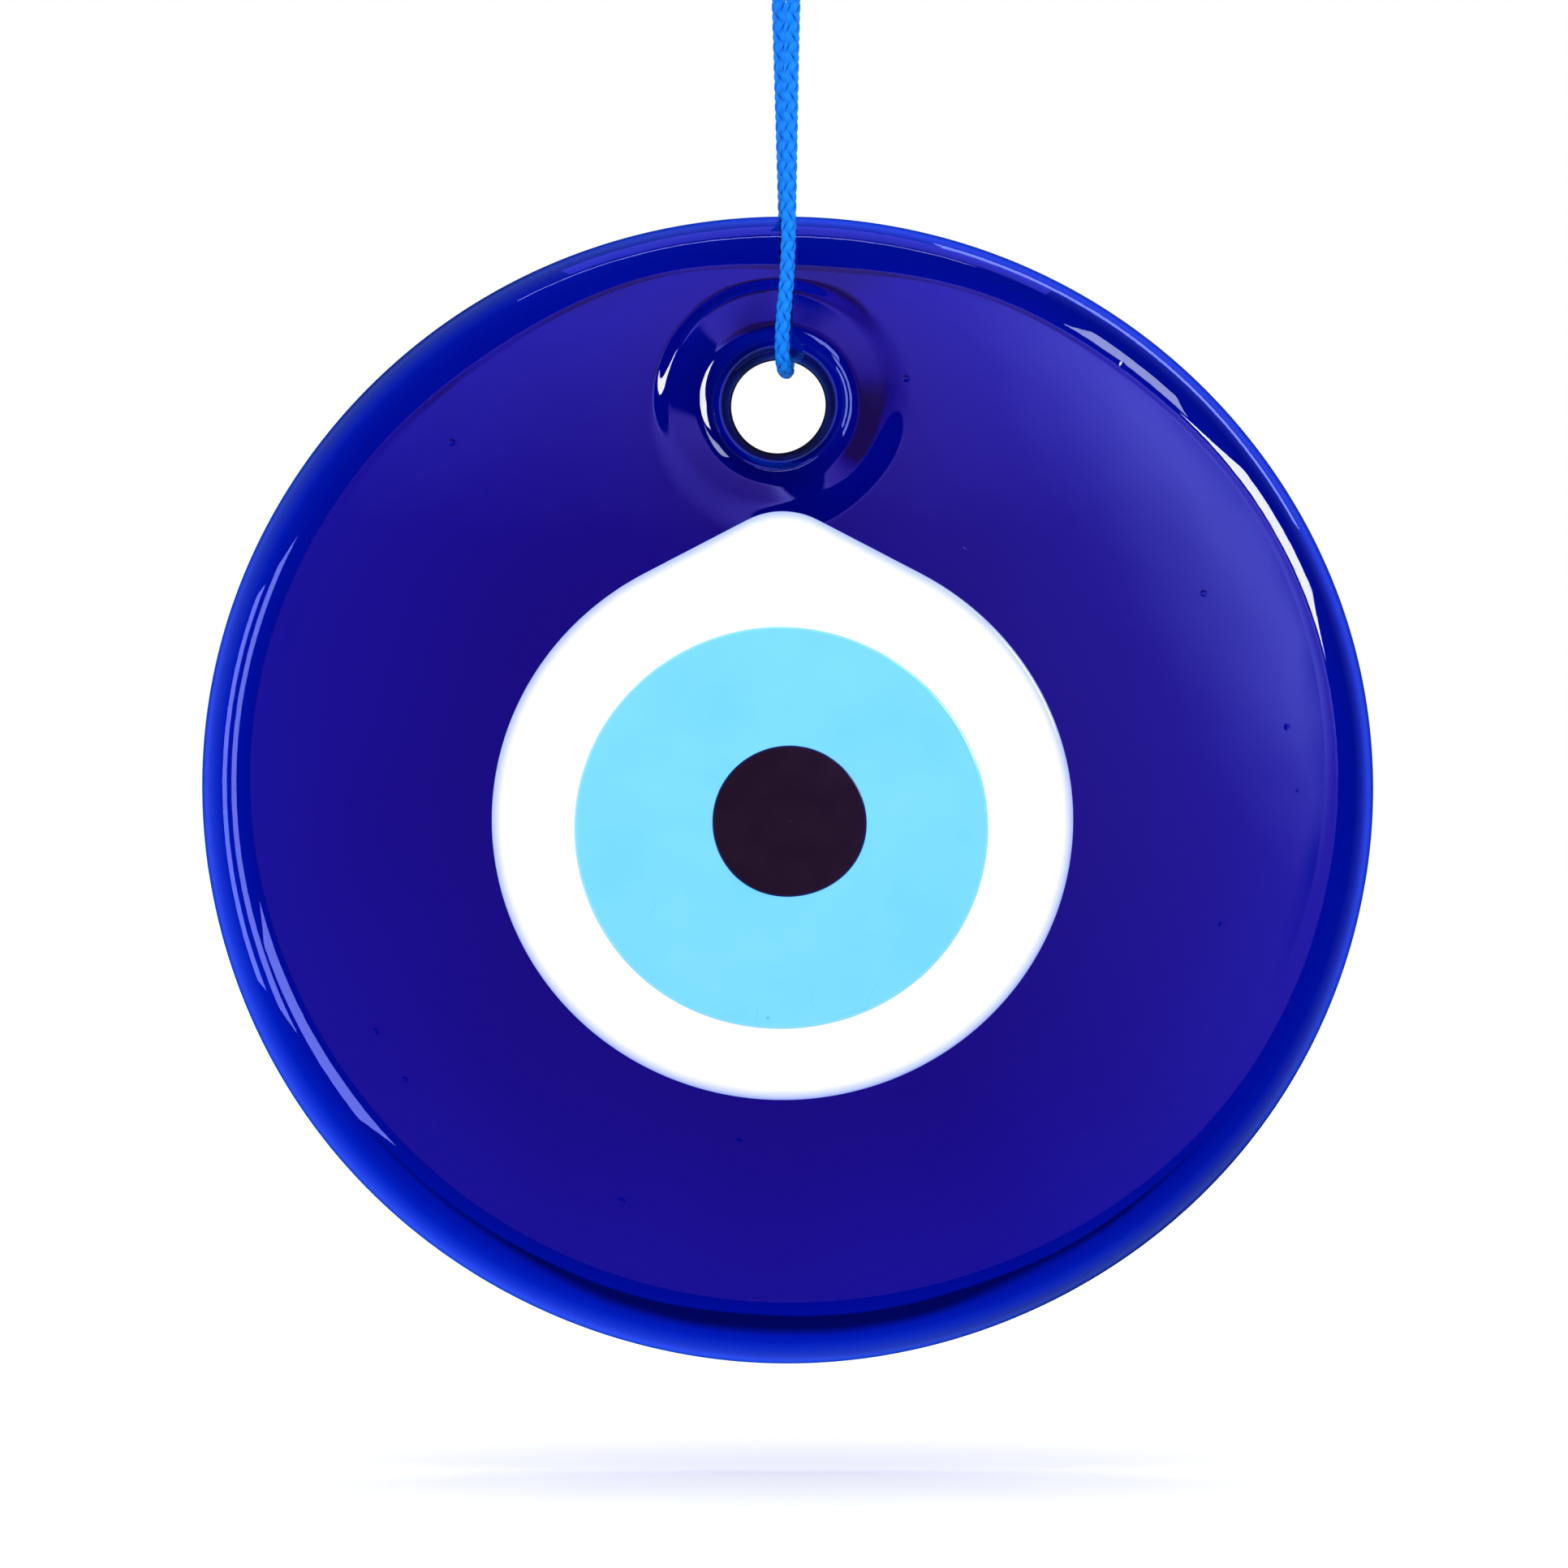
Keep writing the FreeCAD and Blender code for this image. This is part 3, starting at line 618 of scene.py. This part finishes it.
def spline_points(name, points):
    """The points of a smooth NURBS line that has the route's points as its control points."""
    curve = bpy.data.curves.new(name, "CURVE")
    curve.dimensions = "3D"
    spline = curve.splines.new("NURBS")
    spline.points.add(len(points) - 1)
    for point, place in zip(spline.points, points):
        point.co = (*place, 1)
    spline.order_u = 3
    spline.use_endpoint_u = True
    spline.resolution_u = 24
    holder = bpy.data.objects.new(name, curve)
    bpy.context.scene.collection.objects.link(holder)
    mesh = bpy.data.meshes.new_from_object(holder)
    line = np.array([v.co for v in mesh.vertices]) / MM
    bpy.data.objects.remove(holder)
    bpy.data.curves.remove(curve)
    bpy.data.meshes.remove(mesh)
    return line


def even_steps(line, step):
    """The same line with its points a fixed step apart."""
    lengths = np.r_[0, np.cumsum(np.linalg.norm(np.diff(line, axis=0), axis=1))]
    count = max(int(round(lengths[-1] / step)), 2)
    wanted = np.linspace(0, lengths[-1], count + 1)
    places = [np.interp(wanted, lengths, line[:, axis]) for axis in range(3)]
    return np.stack(places, axis=1), wanted


def carried_frames(line):
    """Unit directions along a line, and a side direction carried along it without twisting."""
    along = np.gradient(line, axis=0)
    along /= np.linalg.norm(along, axis=1, keepdims=True)
    side = np.zeros_like(along)
    first = np.cross(along[0], (0.3, 1.0, 0.1))
    side[0] = first / np.linalg.norm(first)
    for i in range(1, len(line)):
        carried = side[i - 1] - along[i] * (side[i - 1] @ along[i])
        side[i] = carried / np.linalg.norm(carried)
    return along, side, np.cross(along, side)


def yarn_tube(centres, outward, along, sections, half_width, half_thickness):
    """Rings of points about a yarn: wide across the cord's surface and thin towards its middle."""
    across = np.cross(along, outward)
    across /= np.linalg.norm(across, axis=1, keepdims=True)
    out = np.cross(across, along)
    angle = np.arange(sections) * TURN / sections
    half_width, half_thickness = (np.reshape(size, (-1, 1, 1)) for size in (half_width, half_thickness))
    wide = np.cos(angle)[None, :, None] * across[:, None, :] * half_width
    thick = np.sin(angle)[None, :, None] * out[:, None, :] * half_thickness
    return centres[:, None, :] + wide + thick, np.sin(angle)


def core_radius(lengths, sealed):
    """Radius of the cord's core, which swells into a melted bead at a sealed end."""
    radius = np.full(len(lengths), YARN_RADIUS * 0.9)
    if sealed:
        from_end = lengths[-1] - lengths
        off_middle = from_end / (BEAD_LENGTH / 2) - 1
        bead = BEAD_RADIUS * np.sqrt(np.clip(1 - off_middle**2, 0.01, 1))
        radius = np.where(from_end < BEAD_LENGTH * 0.8, bead, radius)
    return radius


def braid(name, lines, material):
    """One mesh of braided cord along each (line, frames, lengths, sealed end or not) in the list."""
    vertices, faces, heights, uvs = [], [], [], []
    sections = 8
    turns = TURN / LAY_LENGTH

    def add_tube(tube, height, along_mm):
        start = sum(len(v) for v in vertices)
        count = len(tube)
        vertices.append(tube.reshape(-1, 3))
        faces.extend(grid_faces(count, sections, start=start))
        faces.append(tuple(range(start, start + sections)))
        last = start + (count - 1) * sections
        faces.append(tuple(reversed(range(last, last + sections))))
        heights.append(height.reshape(-1))
        around = np.broadcast_to(np.arange(sections) / sections, (count, sections))
        uvs.append(np.stack([np.repeat(along_mm, sections), around.reshape(-1)], axis=1))

    for line, (along, side, other), lengths, sealed in lines:
        for way in (1, -1):
            for yarn in range(YARNS_EACH_WAY):
                angle = way * turns * lengths + yarn * TURN / YARNS_EACH_WAY
                outward = np.cos(angle)[:, None] * side + np.sin(angle)[:, None] * other
                weave = way * np.cos(YARNS_EACH_WAY * turns * lengths)
                radius = YARN_RADIUS + YARN_WEAVE * weave
                centres = line + outward * radius[:, None]
                yarn_along = np.gradient(centres, axis=0)
                yarn_along /= np.linalg.norm(yarn_along, axis=1, keepdims=True)
                size = (YARN_HALF_WIDTH, YARN_HALF_THICKNESS)
                tube, lift = yarn_tube(centres, outward, yarn_along, sections, *size)
                # Painted shade and light for the material: lower where a yarn dips under and on its inner
                # side, higher where it rides over.
                height = 0.5 + 0.3 * weave[:, None] + 0.25 * lift[None, :]
                shown = len(line) - (int(BEAD_LENGTH / 2 / LINE_STEP) if sealed else 0)
                shift = YARN_SHIFT * yarn * (2 + way)
                add_tube(tube[:shown], height[:shown], lengths[:shown] + shift)
        radius = core_radius(lengths, sealed)
        core, _ = yarn_tube(line, side, along, sections, radius, radius)
        # The core's height of 0 gives it the darkest painted shade.
        add_tube(core, np.zeros(core.shape[:2]), lengths)
    obj = new_object(name, np.concatenate(vertices), faces, material)
    layer = obj.data.attributes.new("height", "FLOAT", "POINT")
    layer.data.foreach_set("value", np.concatenate(heights).astype(np.float32))
    uv_layer = obj.data.uv_layers.new(name="yarn")
    loops = np.zeros(len(obj.data.loops), dtype=np.int32)
    obj.data.loops.foreach_get("vertex_index", loops)
    uv_layer.data.foreach_set("uv", np.concatenate(uvs)[loops].reshape(-1).astype(np.float32))
    return obj


# ---------------- stage


# The camera's distance in metres, its lens, and its place beside and above the disc's centre in mm.
CAMERA_DISTANCE = 0.6
CAMERA_LENS = 161.7
CAMERA_ASIDE = -0.28
CAMERA_ABOVE = 0.48
# The lamps' distance in metres. The lit panel round the camera ends between these angles from -Y.
LAMP_DISTANCE = 0.9
PANEL_END = (math.radians(14.6), math.radians(13.8))
# The floor: its depth below the disc and half its width in millimetres, and its cells each way.
FLOOR_BELOW = 9.2
FLOOR_REACH = 4000.0
FLOOR_CELLS = 8


def make_camera():
    """Straight in front of the disc and level."""
    data = bpy.data.cameras.new("camera")
    data.sensor_width = 36
    data.lens = CAMERA_LENS
    data.clip_start = 0.01
    camera = bpy.data.objects.new("camera", data)
    place_x, place_z = CENTRE[0] + CAMERA_ASIDE, CENTRE[2] + CAMERA_ABOVE
    camera.location = (place_x * MM, -CAMERA_DISTANCE, place_z * MM)
    camera.rotation_euler = (math.pi / 2, 0, 0)
    bpy.context.scene.collection.objects.link(camera)
    bpy.context.scene.camera = camera


def softbox(name, off_axis, azimuth, size, radiance, colour=(1, 1, 1)):
    """A lamp that only reflections see, at an angle from -Y and an azimuth round -Y from +X.

    Its size is its spread in degrees, outward and sideways.
    """
    out, azimuth = math.radians(off_axis), math.radians(azimuth)
    size = [2 * LAMP_DISTANCE * math.tan(math.radians(degrees / 2)) for degrees in size]
    sideways = Vector((math.cos(azimuth), 0, math.sin(azimuth)))
    direction = Vector((0, -math.cos(out), 0)) + sideways * math.sin(out)
    radial = Vector((0, math.sin(out), 0)) + sideways * math.cos(out)
    data = bpy.data.lights.new(name, "AREA")
    data.shape = "RECTANGLE"
    data.size, data.size_y = size
    data.energy = radiance * math.pi * size[0] * size[1]
    data.color = colour
    lamp = bpy.data.objects.new(name, data)
    lamp.location = Vector(CENTRE * MM) + direction * LAMP_DISTANCE
    lamp.rotation_euler = Matrix((radial, direction.cross(radial), direction)).transposed().to_euler()
    lamp.visible_camera = False
    lamp.visible_diffuse = False
    lamp.visible_transmission = False
    bpy.context.scene.collection.objects.link(lamp)


def overhead_sun():
    """Soft light from straight above, which gives the floor the disc's shadow."""
    data = bpy.data.lights.new("overhead", "SUN")
    data.energy = 2.0
    data.color = (1.0, 0.96, 0.4)
    data.angle = math.radians(50)
    lamp = bpy.data.objects.new("overhead", data)
    lamp.visible_glossy = False
    lamp.visible_transmission = False
    bpy.context.scene.collection.objects.link(lamp)


def make_world():
    """A white studio. Reflections see only a panel round the camera, brighter to the upper right."""
    world = bpy.data.worlds.new("studio")
    bpy.context.scene.world = world
    world.use_nodes = True
    world.node_tree.nodes.clear()
    nodes = Nodes(world.node_tree)
    output = nodes.add("ShaderNodeOutputWorld")
    place = nodes.add("ShaderNodeTexCoord").outputs["Generated"]
    parts = nodes.add("ShaderNodeSeparateXYZ", {0: place})
    x, y, z = parts.outputs[0], parts.outputs[1], parts.outputs[2]

    def towards(right, up):
        return nodes.math("ADD", nodes.math("MULTIPLY", x, right), nodes.math("MULTIPLY", z, up))

    panel = nodes.ramp(y, *(-math.cos(angle) for angle in PANEL_END))
    rightwards = towards(0.85, 0.5)
    slow = nodes.mix(nodes.ramp(rightwards, 0.0, 0.2), (0.25, 0.08, 0.4, 1), (0.45, 0.24, 1.5, 1))
    fast = nodes.math("POWER", nodes.ramp(rightwards, 0.165, 0.225), 2.0)
    lit = nodes.mix(fast, slow, (1.35, 1.3, 4.8, 1))
    grazing = nodes.math("MULTIPLY", nodes.ramp(y, -0.3, 0.4), nodes.ramp(y, 0.85, 0.6))
    behind = nodes.mix(grazing, (0.01, 0.01, 0.03, 1), (0.2, 0.3, 1.1, 1))
    high = nodes.ramp(z, 0.12, 0.21)
    lit = nodes.plus(lit, nodes.mix(high, (0, 0, 0, 1), (0.3, 0.25, 1.9, 1)))
    mirrored = nodes.mix(panel, behind, lit)
    # Through the face the studio is brighter to the upper right. The rim sees further, to two bright sides.
    face = nodes.mix(nodes.ramp(towards(0.7, 0.7), -0.5, 0.5), (0.5, 0.1, 0.9, 1), (3.4, 5.5, 3.2, 1))
    bright_side = nodes.ramp(nodes.math("ABSOLUTE", towards(0.8, 0.6)), 0.12, 0.45)
    rim = nodes.mix(bright_side, (0.9, 1.2, 1.0, 1), (2.2, 3.0, 2.7, 1))
    through = nodes.mix(nodes.ramp(y, 0.95, 0.85), face, rim)
    # A dark strip low behind the disc shows inside the bottom of the rim.
    strip = nodes.math("MULTIPLY", nodes.ramp(z, 0.034, 0.05), nodes.ramp(z, 0.2, 0.13))
    near_middle = nodes.ramp(nodes.math("ABSOLUTE", x), 0.06, 0.03, high_to=0.75)
    strip = nodes.math("MULTIPLY", strip, near_middle)
    through = nodes.mix(strip, through, (0.0, 0.0, 0.1, 1))
    through = nodes.mix(nodes.ramp(y, 0.2, -0.1), through, (1.6, 2.6, 2.6, 1))
    paths = nodes.add("ShaderNodeLightPath")
    plain = nodes.ramp(paths.outputs["Is Camera Ray"], 0.0, 1.0, 1.12, 1.0)
    # A ray through glass counts as glossy too, so it is told apart last.
    not_through = nodes.mix(paths.outputs["Is Glossy Ray"], plain, mirrored)
    colour = nodes.mix(paths.outputs["Is Transmission Ray"], not_through, through)
    shine = nodes.add("ShaderNodeBackground", {"Color": colour})
    world.node_tree.links.new(shine.outputs[0], output.inputs["Surface"])


def make_floor():
    """A wide white floor under the hanging disc."""
    level = GLASS_LOW[2] - FLOOR_BELOW
    row_points = FLOOR_CELLS + 1
    steps = np.linspace(-FLOOR_REACH, FLOOR_REACH, row_points)
    vertices = [(x, y, level) for y in steps for x in steps]
    faces = []
    for row in range(FLOOR_CELLS):
        for column in range(FLOOR_CELLS):
            corner = row * row_points + column
            behind = corner + row_points
            faces.append((corner, corner + 1, behind + 1, behind))
    floor = new_object("floor", vertices, faces, floor_material())
    floor.visible_glossy = False
    floor.visible_transmission = False


# ---------------- assembly

scene = bpy.context.scene
scene.view_settings.view_transform = "Standard"
scene.cycles.max_bounces = 20
scene.cycles.transmission_bounces = 16
scene.cycles.glossy_bounces = 10

make_camera()

loop, lengths = even_steps(spline_points("loop", LOOP_ROUTE), LINE_STEP)
along, side, other = carried_frames(loop)
nylon = braid_nylon()


def stretch(start, end):
    """A part of the loop with its frames and lengths, for braid()."""
    part = slice(start, end)
    return loop[part], (along[part], side[part], other[part]), lengths[part], False


def knotted_strand(hand):
    """One strand from under the knot to the end of its tail, for braid()."""
    line, own_lengths = even_steps(spline_points("strand", strand_route(hand)), LINE_STEP)
    return line, carried_frames(line), own_lengths, True


sway_axis = np.array(frame["joints"][-1]["pos_m"]) / MM
in_hole = int(np.argmin(np.linalg.norm(loop - sway_axis, axis=1)))
left_top = int(np.argmax(loop[:, 2] < LEGS_TOP))
right_top = len(loop) - int(np.argmax(loop[::-1, 2] < LEGS_TOP))
cord_back = braid("cord_back", [stretch(left_top, in_hole + 1)], nylon)
cord_front = braid("cord_front", [stretch(in_hole, right_top)], nylon)
necks = [stretch(0, left_top + 1), stretch(right_top - 1, len(loop))]
knot = braid("cord_knot", necks + [knotted_strand(-1), knotted_strand(1)], nylon)

for piece, line, nodes in (
    (cord_back, loop[left_top : in_hole + 1][::-1], ("cord_leg_left",)),
    (cord_front, loop[in_hole:right_top], ("cord_leg_right", "cord_bight")),
):
    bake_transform(piece)
    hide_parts(*nodes)
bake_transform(knot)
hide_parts("cord_neck_left", "cord_neck_right", "knot", "cord_tail_left", "cord_tail_right")

glass = make_glass(cobalt_glass())
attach(glass, "disc")
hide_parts("glass_body")
SPOTS = [
    ("eye_white", "white_drop", (-0.41, -2.56), drop_outline, 1, white_glass, "white_glass"),
    ("eye_iris", "iris", (-0.52, -3.28), spot_outline("iris", [(3, 0.002), (5, 0.0012)]), 2, iris_glass,
     "pale_blue_glass"),
    ("eye_pupil", "pupil", (0.17, -2.7), spot_outline("pupil", [(3, 0.006), (4, 0.003)]), 3, pupil_glass,
     "black_glass"),
]
for name, node, centre, shape, order, make_material, slot in SPOTS:
    spot = make_spot(name, node, centre, shape, order, make_material())
    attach(spot, "disc")
    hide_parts(node)

make_world()
make_floor()
overhead_sun()
softbox("key_right", 38, 29, (30, 13), 20)
softbox("edge_right", 108, 52, (9, 45), 10, (0.25, 0.32, 1.0))
softbox("key_top_right", 42, 52, (22, 8), 9, (0.7, 0.75, 1.0))
softbox("edge_top", 92, 88, (24, 50), 3.6, (0.11, 0.1, 1.0))
softbox("edge_top_line", 75, 95, (2, 46), 9, (0.4, 0.4, 1.0))
for number, out in enumerate((48, 68)):
    softbox(f"left_{number}", out, 180, (10, 40), 10, (0.3, 0.36, 1.0))
softbox("low_left", 33, 208, (14, 14), 11, (0.28, 0.33, 1.0))
